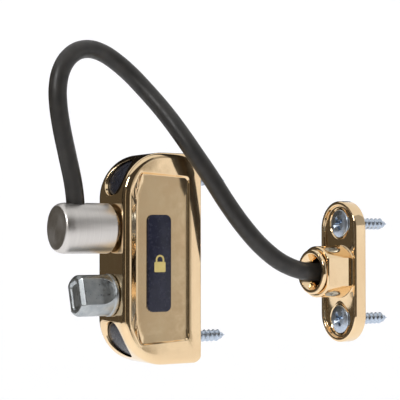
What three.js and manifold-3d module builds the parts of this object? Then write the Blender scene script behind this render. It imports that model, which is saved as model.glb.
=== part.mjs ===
// Window restrictor cable: a keyed lock housing for a window frame, a plug that locks into it
// on a short coated steel cable, and an anchor plate for the sash with a swivelling cable eye.
// Millimetres. +X runs to the right along the window, +Y into the wall, +Z up.
// The origin is the centre of the housing's back face.
import * as THREE from 'three';
import { mergeVertices } from 'three/addons/utils/BufferGeometryUtils.js';
import Module from 'manifold-3d';

const wasm = await Module();
wasm.setup();

// ---- driving dimensions ----
const GAP = 0.3; // left between pieces that touch
const PAST = 1; // how far a cutting shape runs past the face that it opens

const CABLE_RADIUS = 3;
const HOUSING = { width: 19, depth: 29.7, height: 70.2, shoulder: 15.4, corner: 2.5, edge: 2 };
const CAVITY = { halfWidth: 7.2, halfHeight: 19.8, frontWall: 3.2 };
const COVER = { halfWidth: 8, halfHeight: 31.6, thickness: 1.5 }; // the housing's back plate
const TAB = { halfWidth: 2.6, end: -22.4, bottom: -7.4, top: -5.8 }; // folded from the cover, under the spring
const PANEL = { depth: 0.9, front: -27.4, cut: -23.6, back: -4.9, cutHeight: 22, frontHeight: 28.5,
  backHeight: 27.4, backCut: 1 };
const BADGE = { y: -16.2, z: -1.6, width: 8.6, height: 32, corner: 2, thickness: 0.4 };
const WELL = { z: 26.8, mouth: 6, ledge: -20, radius: 4.8, floor: -14, clearance: 2.4 };
const CAP_SUNK = 0.9; // how deep a well's plug sits below the shoulder
const COVER_SCREW = { x: 5.2, z: 22.8, radius: 1, headRadius: 2, length: 7 };
const WOOD_SCREW = { radius: 2.1, tip: 3, housingEnd: 15, anchorEnd: 17 };

const BORE = 6.3; // in the front wall, for the socket bush and the lock core
const SLEEVE = { radius: 6, flange: 6.9, flangeFront: 3.5, flangeBack: 4.9 };
const PLUG_Z = 9.9;
const PLUG = { radius: 8.3, front: -19.7, back: -1.2, cableY: -12.9, pin: 4, stud: 2.5, neck: 2.6 };
const NOSE = { radius: 1.4, length: 3.2 }; // how the barrel tapers to its front in a quarter ellipse
const CABLE_HOLE = { radius: 3.3, floor: -4.5, length: 30, crimpTop: 3 };

const LOCK_Z = -12.1;
const KEY_REST_TURN = -17 * Math.PI / 180; // how the key's grip leans at rest
const KEY = { collar: 7.05, grip: 6.8, flat: 5.2, front: -13.1, neck: -1.5, bit: [2.2, 5.6, 5] };
const RUN_OUT = { start: -6.3, radius: 8.8 }; // how the key's flats rise to its collar
const TAIL = 3.2; // the lock core's square tail
const CAM = { high: 5.4, low: 3.6, fall: Math.PI / 2 };
const LATCH = { front: 7.5, thickness: 2.2, halfWidth: 6.9, window: 5.75, windowTop: 0.8, tongue: 3 };
const SPRING = { radius: 1.6, wire: 0.35, turns: 5 };

const ANCHOR = { x: 26, back: 49, z: -4.7, halfWidth: 9.6, halfHeight: 24.1, thickness: 4.6, rim: 1.4 };
const FLOOR = -3.7; // the anchor plate's recessed floor, in front of its back
const BOSS = { radius: 8.7, halfWidth: 7.3, front: -14.4, bore: 6.1, clipBore: 7.2, clipDepth: 2 };
const ANCHOR_SCREW = { z: 16.4, head: 4.9 };

// The cable's centreline, from the bottom of its hole in the plug to its stop in the anchor.
const CABLE_ROUTE = [
  [0, -42.6, 13.2], [0, -42.6, 18.5], [0, -43.5, 25], [0, -45.5, 33.5], [0, -47.5, 42],
  [0, -48.7, 49], [0, -49, 55], [-0.5, -47.8, 60.5], [-1.5, -45, 65], [-3, -40.5, 68.3],
  [-4.5, -35, 69.5], [-5.2, -29.7, 68.5], [-4.7, -25, 65.8], [-2.7, -20.7, 61.7],
  [0.4, -17, 56.6], [4, -14, 51.5], [7.5, -11.5, 46.5], [11, -9, 41], [14.2, -6, 34.8],
  [17, -1.5, 27], [19.2, 3.5, 18.5], [21.3, 8.5, 11], [23.3, 14.5, 4], [25, 21.5, -1.4],
  [26, 29.5, -4.3], [26, 37, -4.7], [26, 43, -4.7],
].map((point) => new THREE.Vector3(...point));
const CABLE_SPLIT = 0.47; // share of the route, past the loop's bend, where its two stretches meet

// ---- materials ----
const metal = (color, roughness) => new THREE.MeshStandardMaterial({ color, roughness, metalness: 1 });
const plastic = (color, roughness) => new THREE.MeshStandardMaterial({ color, roughness, metalness: 0 });
const BRASS = metal(0xd9b37c, 0.18);
const STEEL = metal(0xb9b5b0, 0.35);
const ZINC = metal(0x8f989b, 0.5);
const BRIGHT_ZINC = metal(0xa3b4c8, 0.4);
const SPRING_STEEL = metal(0x8a8f94, 0.3);
const BLACK_PLASTIC = plastic(0x14151a, 0.35);
const CABLE_SKIN = plastic(0x24221f, 0.5);
const ENAMEL = plastic(0x1a1c24, 0.25);

// ---- shapes and solids ----

/** A closed geometry as a manifold solid, with its faces pointing out. */
function toSolid(geometry) {
  const bare = geometry.clone();
  bare.deleteAttribute('normal');
  bare.deleteAttribute('uv');
  const merged = mergeVertices(bare, 1e-4);
  const points = merged.attributes.position;
  const corners = merged.index.array;
  const [a, b, c] = [new THREE.Vector3(), new THREE.Vector3(), new THREE.Vector3()];
  const kept = [];
  let volume = 0;
  for (let i = 0; i < corners.length; i += 3) {
    const [p, q, r] = corners.slice(i, i + 3);
    if (p === q || q === r || r === p) continue;
    kept.push(p, q, r);
    a.fromBufferAttribute(points, p);
    b.fromBufferAttribute(points, q);
    c.fromBufferAttribute(points, r);
    volume += a.dot(b.cross(c));
  }
  if (volume < 0) kept.reverse();
  return new wasm.Manifold(new wasm.Mesh({
    numProp: 3,
    vertProperties: new Float32Array(points.array),
    triVerts: new Uint32Array(kept),
  }));
}

/** A profile of [radius, y] points turned about the Y axis. It ends on the axis or closes itself. */
function turned(profile, segments = 28) {
  const points = profile.map(([radius, y]) => new THREE.Vector2(radius, y));
  return toSolid(new THREE.LatheGeometry(points, segments));
}

/** A round bar or hole along Y. */
const bar = (radius, y0, y1, segments = 28) => turned([[0, y0], [radius, y0], [radius, y1], [0, y1]], segments);

/** An outline in X and Z with the thickness of y0 to y1. */
function plate(shape, y0, y1, curveSegments = 8) {
  const geometry = new THREE.ExtrudeGeometry(shape, { depth: y1 - y0, bevelEnabled: false, curveSegments });
  return toSolid(geometry.rotateX(Math.PI / 2).translate(0, y1, 0));
}

/** An outline in Y and Z with the thickness of x0 to x1, and its long edges rounded by edge. */
function slab(shape, x0, x1, edge = 0) {
  const geometry = new THREE.ExtrudeGeometry(shape, {
    depth: x1 - x0 - 2 * edge,
    bevelEnabled: edge > 0,
    bevelThickness: edge,
    bevelSize: edge,
    bevelOffset: -edge,
    bevelSegments: 3,
    curveSegments: 8,
  });
  const turn = new THREE.Matrix4().makeBasis(
    new THREE.Vector3(0, 1, 0), new THREE.Vector3(0, 0, 1), new THREE.Vector3(1, 0, 0));
  return toSolid(geometry.applyMatrix4(turn).translate(x0 + edge, 0, 0));
}

function box(x0, x1, y0, y1, z0, z1) {
  const geometry = new THREE.BoxGeometry(x1 - x0, y1 - y0, z1 - z0);
  return toSolid(geometry.translate((x0 + x1) / 2, (y0 + y1) / 2, (z0 + z1) / 2));
}

const polygon = (points) => new THREE.Shape(points.map(([x, y]) => new THREE.Vector2(x, y)));

/** A rectangle with rounded corners about a centre; a corner of half the width gives a stadium. */
function roundedOutline(halfWidth, halfHeight, corner, x = 0, y = 0) {
  const shape = new THREE.Shape();
  const [across, up] = [halfWidth - corner, halfHeight - corner];
  shape.absarc(x + across, y + up, corner, 0, Math.PI / 2, false);
  shape.absarc(x - across, y + up, corner, Math.PI / 2, Math.PI, false);
  shape.absarc(x - across, y - up, corner, Math.PI, 1.5 * Math.PI, false);
  shape.absarc(x + across, y - up, corner, 1.5 * Math.PI, 2 * Math.PI, false);
  return shape;
}

const at = (solid, x, y, z) => solid.translate([x, y, z]);
const union = (...solids) => solids.reduce((sum, solid) => sum.add(solid));
const cut = (solid, ...tools) => tools.reduce((left, tool) => left.subtract(tool), solid);

const model = new THREE.Group();

/** Puts a solid in the scene as a named mesh. */
function place(name, solid, material, group = model) {
  const { vertProperties, triVerts } = solid.getMesh();
  const geometry = new THREE.BufferGeometry();
  geometry.setAttribute('position', new THREE.BufferAttribute(new Float32Array(vertProperties), 3));
  geometry.setIndex(new THREE.BufferAttribute(new Uint32Array(triVerts), 1));
  geometry.computeVertexNormals();
  const mesh = new THREE.Mesh(geometry, material);
  mesh.name = name;
  group.add(mesh);
}

function groupAt(x, y, z, parent = model) {
  const group = new THREE.Group();
  group.position.set(x, y, z);
  parent.add(group);
  return group;
}

// ---- screws ----

/** The cross recess of a screw, cut into a head whose face is at y. */
function crossRecess(y, reach, depth) {
  const width = reach / 3.2;
  return union(
    box(-reach, reach, y - PAST, y + depth, -width / 2, width / 2),
    box(-width / 2, width / 2, y - PAST, y + depth, -reach, reach),
  );
}

/** A screw along Y from the profile of its head, with its shank running to a point at end. */
function woodScrew(head, radius, end, recess) {
  const shank = [[radius, end - WOOD_SCREW.tip], [0, end]];
  return cut(turned([...head, ...shank], 24), recess);
}

// ---- housing ----

/** The housing's side outline in Y and Z, drawn in by inset: round shoulders in front. */
function sideOutline(inset = 0) {
  const [back, front, top] = [-inset, inset - HOUSING.depth, HOUSING.height / 2 - inset];
  const [shoulder, corner] = [HOUSING.shoulder - inset, HOUSING.corner - inset];
  const shape = new THREE.Shape();
  shape.absarc(back - corner, top - corner, corner, 0, Math.PI / 2, false);
  shape.absarc(front + shoulder, top - shoulder, shoulder, Math.PI / 2, Math.PI, false);
  shape.absarc(front + shoulder, shoulder - top, shoulder, Math.PI, 1.5 * Math.PI, false);
  shape.absarc(back - corner, corner - top, corner, 1.5 * Math.PI, 2 * Math.PI, false);
  return shape;
}

/** The shallow panel in each cheek, cut across at its front corners. */
function panelOutline() {
  const { front, cut: shoulder, back, cutHeight, frontHeight, backHeight, backCut } = PANEL;
  const upper = [
    [front, cutHeight], [shoulder, frontHeight], [back - backCut, backHeight], [back, backHeight - backCut],
  ];
  const lower = upper.map(([y, z]) => [y, -z]).reverse();
  return polygon([...lower, ...upper].reverse());
}

function housingShell() {
  const half = HOUSING.width / 2;
  const coverSeat = COVER.thickness + GAP;
  const wells = [1, -1].map((side) => union(
    at(bar(WELL.mouth, -HOUSING.depth - PAST, WELL.ledge), 0, 0, side * WELL.z),
    at(bar(WELL.radius, WELL.ledge - PAST, WELL.floor), 0, 0, side * WELL.z),
    at(bar(WELL.clearance, WELL.floor - PAST, PAST, 20), 0, 0, side * WELL.z),
    at(bar(COVER_SCREW.radius + GAP, -COVER_SCREW.length - PAST, PAST, 16),
      side * COVER_SCREW.x, 0, side * COVER_SCREW.z),
  ));
  const bores = [PLUG_Z, LOCK_Z].map((z) => at(
    bar(BORE, -HOUSING.depth - PAST, -HOUSING.depth + CAVITY.frontWall + PAST), 0, 0, z));
  return cut(
    slab(sideOutline(), -half, half, HOUSING.edge),
    box(-CAVITY.halfWidth, CAVITY.halfWidth, CAVITY.frontWall - HOUSING.depth, PAST,
      -CAVITY.halfHeight, CAVITY.halfHeight),
    box(-COVER.halfWidth - GAP, COVER.halfWidth + GAP, -coverSeat, PAST,
      -COVER.halfHeight - GAP, COVER.halfHeight + GAP),
    slab(panelOutline(), half - PANEL.depth, half + PAST),
    slab(panelOutline(), -half - PAST, PANEL.depth - half),
    ...wells,
    ...bores,
  );
}

/** The steel cover, with a folded tab that the latch's spring stands on. */
function backPlate() {
  const holes = [1, -1].map((side) => union(
    at(bar(WELL.clearance + 0.2, -PAST - COVER.thickness, PAST, 24), 0, 0, side * WELL.z),
    at(turned([[0, -3], [COVER_SCREW.radius + GAP, -3], [COVER_SCREW.radius + GAP, -1.3],
      [COVER_SCREW.headRadius + GAP, 0], [COVER_SCREW.headRadius + GAP, PAST], [0, PAST]], 20),
    side * COVER_SCREW.x, 0, side * COVER_SCREW.z),
  ));
  return cut(union(
    box(-COVER.halfWidth, COVER.halfWidth, -COVER.thickness, 0, -COVER.halfHeight, COVER.halfHeight),
    box(-TAB.halfWidth, TAB.halfWidth, TAB.end, -COVER.thickness / 2, TAB.bottom, TAB.top),
  ), ...holes);
}

function coverScrew() {
  const { radius, headRadius, length } = COVER_SCREW;
  const profile = [[0, -0.1], [headRadius, -0.1], [radius, -1.4], [radius, -length], [0, -length]];
  return cut(turned(profile, 20), box(-headRadius, headRadius, -0.6, PAST, -0.25, 0.25));
}

/** A plug that closes a screw well: its face has the shoulder's curve, and sits a little below it. */
function screwCap(side) {
  const cylinder = at(bar(WELL.mouth - GAP, -HOUSING.depth, WELL.ledge - GAP), 0, 0, side * WELL.z);
  return cylinder.intersect(at(slab(sideOutline(), -WELL.mouth, WELL.mouth), 0, CAP_SUNK, 0));
}

function housingScrew() {
  const seat = WELL.floor - GAP;
  const head = [[0, seat - 3], [2.6, seat - 2.8], [3.9, seat - 1.6], [4.2, seat], [WOOD_SCREW.radius, seat]];
  return woodScrew(head, WOOD_SCREW.radius, WOOD_SCREW.housingEnd, crossRecess(seat - 3, 2.4, 1.8));
}

function badge() {
  const inner = HOUSING.width / 2 - PANEL.depth + GAP;
  const outline = roundedOutline(BADGE.width / 2, BADGE.height / 2, BADGE.corner, BADGE.y, BADGE.z);
  return slab(outline, inner, inner + BADGE.thickness);
}

place('housing_shell', housingShell(), BRASS);
place('back_plate', backPlate(), STEEL);
place('cheek_badge', badge(), ENAMEL);
for (const [end, side] of [['upper', 1], ['lower', -1]]) {
  const well = groupAt(0, 0, side * WELL.z);
  place(`screw_cap_${end}`, screwCap(side), BLACK_PLASTIC);
  place(`housing_screw_${end}`, housingScrew(), BRIGHT_ZINC, well);
  const corner = groupAt(side * COVER_SCREW.x, 0, side * COVER_SCREW.z);
  place(`back_plate_screw_${end}`, coverScrew(), BRIGHT_ZINC, corner);
}

// ---- plug and socket: y is 0 on the housing's front face ----

/** A sleeve through the front wall, with a flange behind it. */
function socketBush() {
  const { radius, flange, flangeFront, flangeBack } = SLEEVE;
  const inner = PLUG.pin + GAP;
  return turned([
    [inner, 0.2], [radius, 0.2], [radius, flangeFront], [flange, flangeFront], [flange, flangeBack],
    [radius, flangeBack], [radius, 7.1], [inner, 7.1], [inner, 0.2],
  ]);
}

/** The locking pin: a stud in the barrel, a shoulder, and the neck that the latch drops into. */
function plugPin() {
  return turned([
    [0, -7.2], [PLUG.stud, -7.2], [PLUG.stud, PLUG.back + GAP], [PLUG.pin, PLUG.back + GAP],
    [PLUG.pin, 7.1], [PLUG.neck, 7.1], [PLUG.neck, 10.1], [PLUG.pin, 10.1], [PLUG.pin, 13.2],
    [3, 14.2], [0, 14.2],
  ]);
}

function plugBarrel() {
  const { radius, front, back, cableY, stud } = PLUG;
  const taper = [0, 22.5, 45, 67.5, 90].map((degrees) => {
    const angle = degrees * Math.PI / 180;
    return [radius - NOSE.radius * (1 - Math.sin(angle)), front + NOSE.length * (1 - Math.cos(angle))];
  });
  const body = turned([[0, front], ...taper, [radius, back - 0.6], [radius - 0.6, back], [0, back]], 40);
  const hole = toSolid(new THREE.CylinderGeometry(CABLE_HOLE.radius, CABLE_HOLE.radius, CABLE_HOLE.length, 24)
    .rotateX(Math.PI / 2).translate(0, cableY, CABLE_HOLE.floor + CABLE_HOLE.length / 2));
  return cut(body, bar(stud + GAP, -7.5, PAST, 24), hole);
}

/** The swaged sleeve that holds the cable's end in the barrel. */
function cableCrimp() {
  const [bottom, top] = [CABLE_HOLE.floor + GAP, CABLE_HOLE.crimpTop];
  return toSolid(new THREE.CylinderGeometry(CABLE_HOLE.radius - GAP, CABLE_HOLE.radius - GAP, top - bottom, 8)
    .rotateX(Math.PI / 2).translate(0, PLUG.cableY, (top + bottom) / 2));
}

const plug = groupAt(0, -HOUSING.depth, PLUG_Z);
place('socket_bush', socketBush(), BRASS, plug);
place('plug_pin', plugPin(), STEEL, plug);
place('plug_barrel', plugBarrel(), STEEL, plug);
place('cable_crimp', cableCrimp(), SPRING_STEEL, plug);

// ---- lock and key: y is 0 on the housing's front face ----

/** The turning core, with a keyway in front and a square tail for the cam. */
function lockCore() {
  const { radius, flange, flangeFront, flangeBack } = SLEEVE;
  const [thick, wide, long] = KEY.bit;
  const body = turned([
    [0, GAP], [radius, GAP], [radius, flangeFront], [flange, flangeFront], [flange, flangeBack],
    [radius, flangeBack], [radius, 6.4], [0, 6.4],
  ]);
  const keyway = box(-thick / 2 - GAP, thick / 2 + GAP, -PAST, long + GAP + 0.2, -wide / 2 - GAP, wide / 2 + GAP)
    .rotate([0, KEY_REST_TURN * 180 / Math.PI, 0]);
  return cut(body.add(box(-TAIL / 2, TAIL / 2, 5.6, 12.4, -TAIL / 2, TAIL / 2)), keyway);
}

/** A spiral cam: its high point looks down at rest, and it falls away over a quarter turn. */
function lockCam() {
  const steps = 40;
  const points = [];
  for (let i = 0; i < steps; i++) {
    const angle = 2 * Math.PI * i / steps;
    const radius = Math.max(CAM.low, CAM.high - (CAM.high - CAM.low) * angle / CAM.fall);
    points.push([radius * Math.sin(angle), -radius * Math.cos(angle)]);
  }
  const square = TAIL / 2 + GAP;
  const hole = box(-square, square, LATCH.front - PAST, LATCH.front + LATCH.thickness + PAST, -square, square);
  return cut(plate(polygon(points), LATCH.front, LATCH.front + LATCH.thickness), hole);
}

const camRetainer = () => turned([[2.6, 10], [3.8, 10], [3.8, 11.2], [2.6, 11.2], [2.6, 10]], 24);

/** The key: a round collar, a grip with two flats that rise to it, and the bit that fits the keyway. */
function key() {
  const { collar, grip, flat, front, neck } = KEY;
  const [thick, wide, long] = KEY.bit;
  const body = turned([
    [0, front], [grip - 1.4, front], [grip - 0.4, front + 0.5], [grip, front + 1.5], [grip, neck],
    [collar, neck], [collar, -GAP], [0, -GAP],
  ], 40);
  const reach = 12;
  const flats = [1, -1].map((side) => {
    const [near, far] = [side * flat, side * reach].sort((a, b) => a - b);
    return toSolid(new THREE.CylinderGeometry(RUN_OUT.radius, RUN_OUT.radius, 2 * reach, 32)
      .rotateX(Math.PI / 2).translate(side * (flat + RUN_OUT.radius), RUN_OUT.start, 0))
      .add(box(near, far, front - PAST, RUN_OUT.start, -reach, reach));
  });
  const bit = box(-thick / 2, thick / 2, -PAST, long, -wide / 2, wide / 2);
  return cut(body, ...flats).add(bit);
}

const lock = groupAt(0, -HOUSING.depth, LOCK_Z);
place('lock_core', lockCore(), BRASS, lock);
place('lock_cam', lockCam(), STEEL, lock);
place('cam_retainer', camRetainer(), SPRING_STEEL, lock);
const keyGroup = groupAt(0, 0, 0, lock);
keyGroup.rotation.y = KEY_REST_TURN;
place('key', key(), ZINC, keyGroup);

// ---- latch ----

/** A steel slide: its window rides on the cam, and its tongue drops into the plug pin's neck. */
function latchBolt() {
  const [bottom, windowBottom, shoulder, top] = [-19.2, LOCK_Z - CAM.high - GAP, 2.6, 5.4];
  const { halfWidth, window, windowTop, tongue, thickness } = LATCH;
  const front = LATCH.front - HOUSING.depth;
  return cut(
    union(
      box(-halfWidth, halfWidth, front, front + thickness, bottom, shoulder),
      box(-tongue, tongue, front, front + thickness, shoulder - PAST, top),
    ),
    box(-window, window, front - PAST, front + thickness + PAST, windowBottom, windowTop),
  );
}

/** A coil spring standing on the cover's tab, under the top of the latch's window. */
function latchSpring() {
  const [low, high] = [TAB.top + GAP + SPRING.wire, LATCH.windowTop - GAP - SPRING.wire];
  const points = [];
  const steps = SPRING.turns * 9;
  for (let i = 0; i <= steps; i++) {
    const angle = 2 * Math.PI * SPRING.turns * i / steps;
    points.push(new THREE.Vector3(
      SPRING.radius * Math.cos(angle), SPRING.radius * Math.sin(angle), low + (high - low) * i / steps));
  }
  return tube(new THREE.CatmullRomCurve3(points), SPRING.wire, steps, 6);
}

/** A round section drawn along a curve. */
function tube(curve, radius, steps, sides) {
  const section = new THREE.Shape();
  for (let i = 0; i < sides; i++) {
    const angle = 2 * Math.PI * i / sides;
    const point = [radius * Math.cos(angle), radius * Math.sin(angle)];
    if (i === 0) section.moveTo(...point);
    else section.lineTo(...point);
  }
  return toSolid(new THREE.ExtrudeGeometry(section, { steps, extrudePath: curve }));
}

place('latch_bolt', latchBolt(), STEEL);
place('latch_spring', latchSpring(), SPRING_STEEL,
  groupAt(0, LATCH.front + LATCH.thickness / 2 - HOUSING.depth, 0));

// ---- anchor: y is 0 on the plate's back ----

/** A plate with a raised rim, and a flat-sided boss between its two countersunk holes. */
function anchorPlate() {
  const { halfWidth, halfHeight, thickness, rim } = ANCHOR;
  const boss = bar(BOSS.radius, BOSS.front, FLOOR + PAST, 40)
    .intersect(box(-BOSS.halfWidth, BOSS.halfWidth, BOSS.front - PAST, 0, -BOSS.radius - PAST, BOSS.radius + PAST));
  const screwHoles = [1, -1].map((side) => at(turned([
    [0, FLOOR - PAST], [ANCHOR_SCREW.head + GAP, FLOOR - PAST], [ANCHOR_SCREW.head + GAP, FLOOR],
    [WOOD_SCREW.radius + GAP, -0.9], [WOOD_SCREW.radius + GAP, PAST], [0, PAST],
  ]), 0, 0, side * ANCHOR_SCREW.z));
  return cut(
    cut(
      plate(roundedOutline(halfWidth, halfHeight, halfWidth), -thickness, 0, 12),
      plate(roundedOutline(halfWidth - rim, halfHeight - rim, halfWidth - rim), -thickness - PAST, FLOOR, 12),
    ).add(boss),
    bar(BOSS.bore, BOSS.front - PAST, PAST),
    bar(BOSS.clipBore, -BOSS.clipDepth, PAST),
    ...screwHoles,
  );
}

/** The cable's bell-mouthed eye, which turns in the boss and is held by a clip behind it. */
function swivelFerrule() {
  return turned([
    [6.5, -16.2], [7.1, -16.2], [7.6, -15.7], [7.6, -15.1], [7.3, -14.7], [5.8, -14.7], [5.8, -1.9],
    [5, -1.9], [5, -0.7], [5.8, -0.7], [5.8, -0.4], [4.8, -0.4], [4.8, -6], [3.7, -6], [3.7, -9.4],
    [4.3, -10], [4.3, -12], [4.6, -13.4], [5.1, -14.7], [5.9, -15.7], [6.5, -16.2],
  ], 36);
}

function ferruleClip() {
  const ring = turned([[5.3, -1.6], [6.9, -1.6], [6.9, -1], [5.3, -1], [5.3, -1.6]], 32);
  return cut(ring, box(-2.2, 2.2, -PAST - 1.6, PAST, 0, 8));
}

/** The crimped stop on the cable's end, which pulls against the ferrule's shoulder. */
const cableStop = () => turned([
  [0, -5.7], [3.9, -5.7], [4.5, -5.1], [4.5, -1.8], [3.9, -1.2], [0, -1.2],
], 24);

function anchorScrew() {
  const head = [
    [0, FLOOR - 0.9], [3, FLOOR - 0.8], [ANCHOR_SCREW.head - 0.1, FLOOR - 0.3], [ANCHOR_SCREW.head - 0.1, FLOOR],
    [WOOD_SCREW.radius - 0.1, -0.9],
  ];
  return woodScrew(head, WOOD_SCREW.radius - 0.1, WOOD_SCREW.anchorEnd, crossRecess(FLOOR - 0.9, 2.8, 2));
}

const anchor = groupAt(ANCHOR.x, ANCHOR.back, ANCHOR.z);
place('anchor_plate', anchorPlate(), BRASS, anchor);
place('swivel_ferrule', swivelFerrule(), BRASS, anchor);
place('ferrule_clip', ferruleClip(), SPRING_STEEL, anchor);
place('cable_stop', cableStop(), SPRING_STEEL, anchor);
for (const [end, side] of [['upper', 1], ['lower', -1]]) {
  place(`anchor_screw_${end}`, anchorScrew(), BRIGHT_ZINC, groupAt(0, 0, side * ANCHOR_SCREW.z, anchor));
}

// ---- cable ----

/** The part of a curve between two shares of its length. */
class Stretch extends THREE.Curve {
  constructor(whole, from, to) {
    super();
    Object.assign(this, { whole, from, to });
  }

  getPoint(share, target = new THREE.Vector3()) {
    return this.whole.getPointAt(this.from + (this.to - this.from) * share, target);
  }
}

const route = new THREE.CatmullRomCurve3(CABLE_ROUTE, false, 'centripetal');
const halfGap = GAP / 2 / route.getLength();
const plugStretch = new Stretch(route, 0, CABLE_SPLIT - halfGap);
const anchorStretch = new Stretch(route, CABLE_SPLIT + halfGap, 1);
place('cable_plug_end', tube(plugStretch, CABLE_RADIUS, 20, 10), CABLE_SKIN);
place('cable_anchor_end', tube(anchorStretch, CABLE_RADIUS, 18, 10), CABLE_SKIN);

export default model;
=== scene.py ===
"""A window restrictor cable: its fine shapes, materials, light and camera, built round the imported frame.

Metres, in the frame's own axes: +X to the right along the window, +Y into the wall, +Z up.
"""

import math

import bmesh
import bpy
import numpy as np
from mathutils import Matrix, Vector


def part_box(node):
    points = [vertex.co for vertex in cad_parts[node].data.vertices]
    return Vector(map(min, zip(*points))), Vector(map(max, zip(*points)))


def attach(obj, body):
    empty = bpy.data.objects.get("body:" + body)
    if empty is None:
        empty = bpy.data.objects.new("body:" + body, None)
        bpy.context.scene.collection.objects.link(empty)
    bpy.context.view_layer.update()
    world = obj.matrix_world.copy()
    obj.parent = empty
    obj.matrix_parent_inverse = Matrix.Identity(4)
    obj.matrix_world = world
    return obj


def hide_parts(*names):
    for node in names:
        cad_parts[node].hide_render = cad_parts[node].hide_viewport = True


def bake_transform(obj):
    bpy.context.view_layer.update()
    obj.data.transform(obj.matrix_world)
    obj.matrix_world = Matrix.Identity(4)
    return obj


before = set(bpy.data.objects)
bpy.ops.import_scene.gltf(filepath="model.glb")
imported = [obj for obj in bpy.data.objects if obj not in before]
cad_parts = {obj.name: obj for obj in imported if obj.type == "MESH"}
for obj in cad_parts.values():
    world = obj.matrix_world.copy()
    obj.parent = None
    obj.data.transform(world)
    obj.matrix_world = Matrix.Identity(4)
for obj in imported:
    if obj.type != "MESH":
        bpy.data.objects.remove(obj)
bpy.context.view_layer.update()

# ---- camera ----

CAMERA = {"azimuth": 58.5, "tilt": 1.8, "distance": 0.435, "aim": (0.0022, 0.0036, 0.0061), "lens": 114.3}


def make_camera():
    """A camera to the right of the housing's front, at about its height, tilted up a little."""
    turn, tilt = math.radians(CAMERA["azimuth"]), math.radians(CAMERA["tilt"])
    ahead = Vector((-math.sin(turn), math.cos(turn), 0))
    looking = ahead * math.cos(tilt) + Vector((0, 0, math.sin(tilt)))
    data = bpy.data.cameras.new("camera")
    data.lens, data.sensor_width = CAMERA["lens"], 36
    data.clip_start, data.clip_end = 0.01, 20
    camera = bpy.data.objects.new("camera", data)
    camera.location = Vector(CAMERA["aim"]) - ahead * CAMERA["distance"]
    camera.rotation_euler = looking.to_track_quat("-Z", "Y").to_euler()
    bpy.context.scene.collection.objects.link(camera)
    bpy.context.scene.camera = camera


make_camera()

# ---- mesh helpers ----

WELD = 1e-7  # points nearer than this are one


def tidy(obj, crease=32):
    """Welds the mesh, turns its faces outward, and shades it smooth but for edges sharper than crease."""
    work = bmesh.new()
    work.from_mesh(obj.data)
    bmesh.ops.remove_doubles(work, verts=work.verts, dist=WELD)
    bmesh.ops.dissolve_degenerate(work, dist=WELD, edges=work.edges)
    bmesh.ops.recalc_face_normals(work, faces=work.faces)
    limit = math.radians(crease)
    for face in work.faces:
        face.smooth = True
    for edge in work.edges:
        edge.smooth = edge.calc_face_angle(0) < limit
    work.to_mesh(obj.data)
    work.free()
    return obj


def add_object(name, points, faces):
    mesh = bpy.data.meshes.new(name)
    mesh.from_pydata([tuple(point) for point in points], [], faces)
    obj = bpy.data.objects.new(name, mesh)
    bpy.context.scene.collection.objects.link(obj)
    return tidy(obj)


def loft(name, rings, closed=False):
    """A skin over rings of equally many points. Its ends are closed, or the last ring meets the first."""
    count = len(rings[0])
    faces = []
    for i in range(len(rings) - (0 if closed else 1)):
        a, b = i * count, (i + 1) % len(rings) * count
        for k in range(count):
            following = (k + 1) % count
            faces.append((a + k, a + following, b + following, b + k))
    if not closed:
        last = (len(rings) - 1) * count
        faces.append(tuple(range(count)))
        faces.append(tuple(range(last, last + count)))
    return add_object(name, [point for ring in rings for point in ring], faces)


def rounded(points, closed=False, steps=6):
    """A flat line of (a, b) or (a, b, fillet) points, with an arc at each corner that has a fillet."""
    line = []
    for i, point in enumerate(points):
        corner = Vector(point[:2])
        inner = closed or 0 < i < len(points) - 1
        if len(point) < 3 or not inner:
            line.append(tuple(corner))
            continue
        before = (Vector(points[i - 1][:2]) - corner).normalized()
        after = (Vector(points[(i + 1) % len(points)][:2]) - corner).normalized()
        half = before.angle(after) / 2
        centre = corner + (before + after).normalized() * point[2] / math.sin(half)
        reach = point[2] / math.tan(half)
        start, end = corner + before * reach - centre, corner + after * reach - centre
        turn = start.angle_signed(end)
        for step in range(steps + 1):
            angle = -turn * step / steps
            across = Vector((start.x * math.cos(angle) - start.y * math.sin(angle),
                             start.x * math.sin(angle) + start.y * math.cos(angle)))
            line.append(tuple(centre + across))
    return line


def revolve(name, profile, centre, closed=False, segments=96):
    """A profile of (radius, y) points turned about a line along Y through the centre."""
    rings = []
    for radius, y in profile:
        angles = [2 * math.pi * k / segments for k in range(segments)]
        rings.append([centre + Vector((radius * math.cos(a), y, radius * math.sin(a))) for a in angles])
    return loft(name, rings, closed)


def rounded_rectangle(half_a, half_b, corner, centre=(0, 0), inset=0, steps=10):
    """A rectangle's outline with round corners, drawn in by inset. Its points keep their order."""
    radius = max(corner - inset, WELD)
    reach_a, reach_b = half_a - inset - radius, half_b - inset - radius
    outline = []
    for quarter, (a, b) in enumerate([(1, 1), (-1, 1), (-1, -1), (1, -1)]):
        for step in range(steps + 1):
            angle = math.pi / 2 * (quarter + step / steps)
            outline.append((centre[0] + a * reach_a + radius * math.cos(angle),
                            centre[1] + b * reach_b + radius * math.sin(angle)))
    return outline


def stack(name, outline, profile, place):
    """One outline drawn in by each inset and set at each height: place(a, b, height) gives a point."""
    return loft(name, [[place(a, b, height) for a, b in outline(inset)] for inset, height in profile])


def block(low, high):
    """A plain box, to cut with."""
    corners = ((low[0], low[2]), (high[0], low[2]), (high[0], high[2]), (low[0], high[2]))
    return loft("tool", [[(x, y, z) for x, z in corners] for y in (low[1], high[1])])


def drill(radius, y0, y1, centre, segments=64):
    """A round bar along Y, to cut with."""
    return revolve("tool", [(0, y0), (radius, y0), (radius, y1), (0, y1)], centre, segments=segments)


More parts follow.
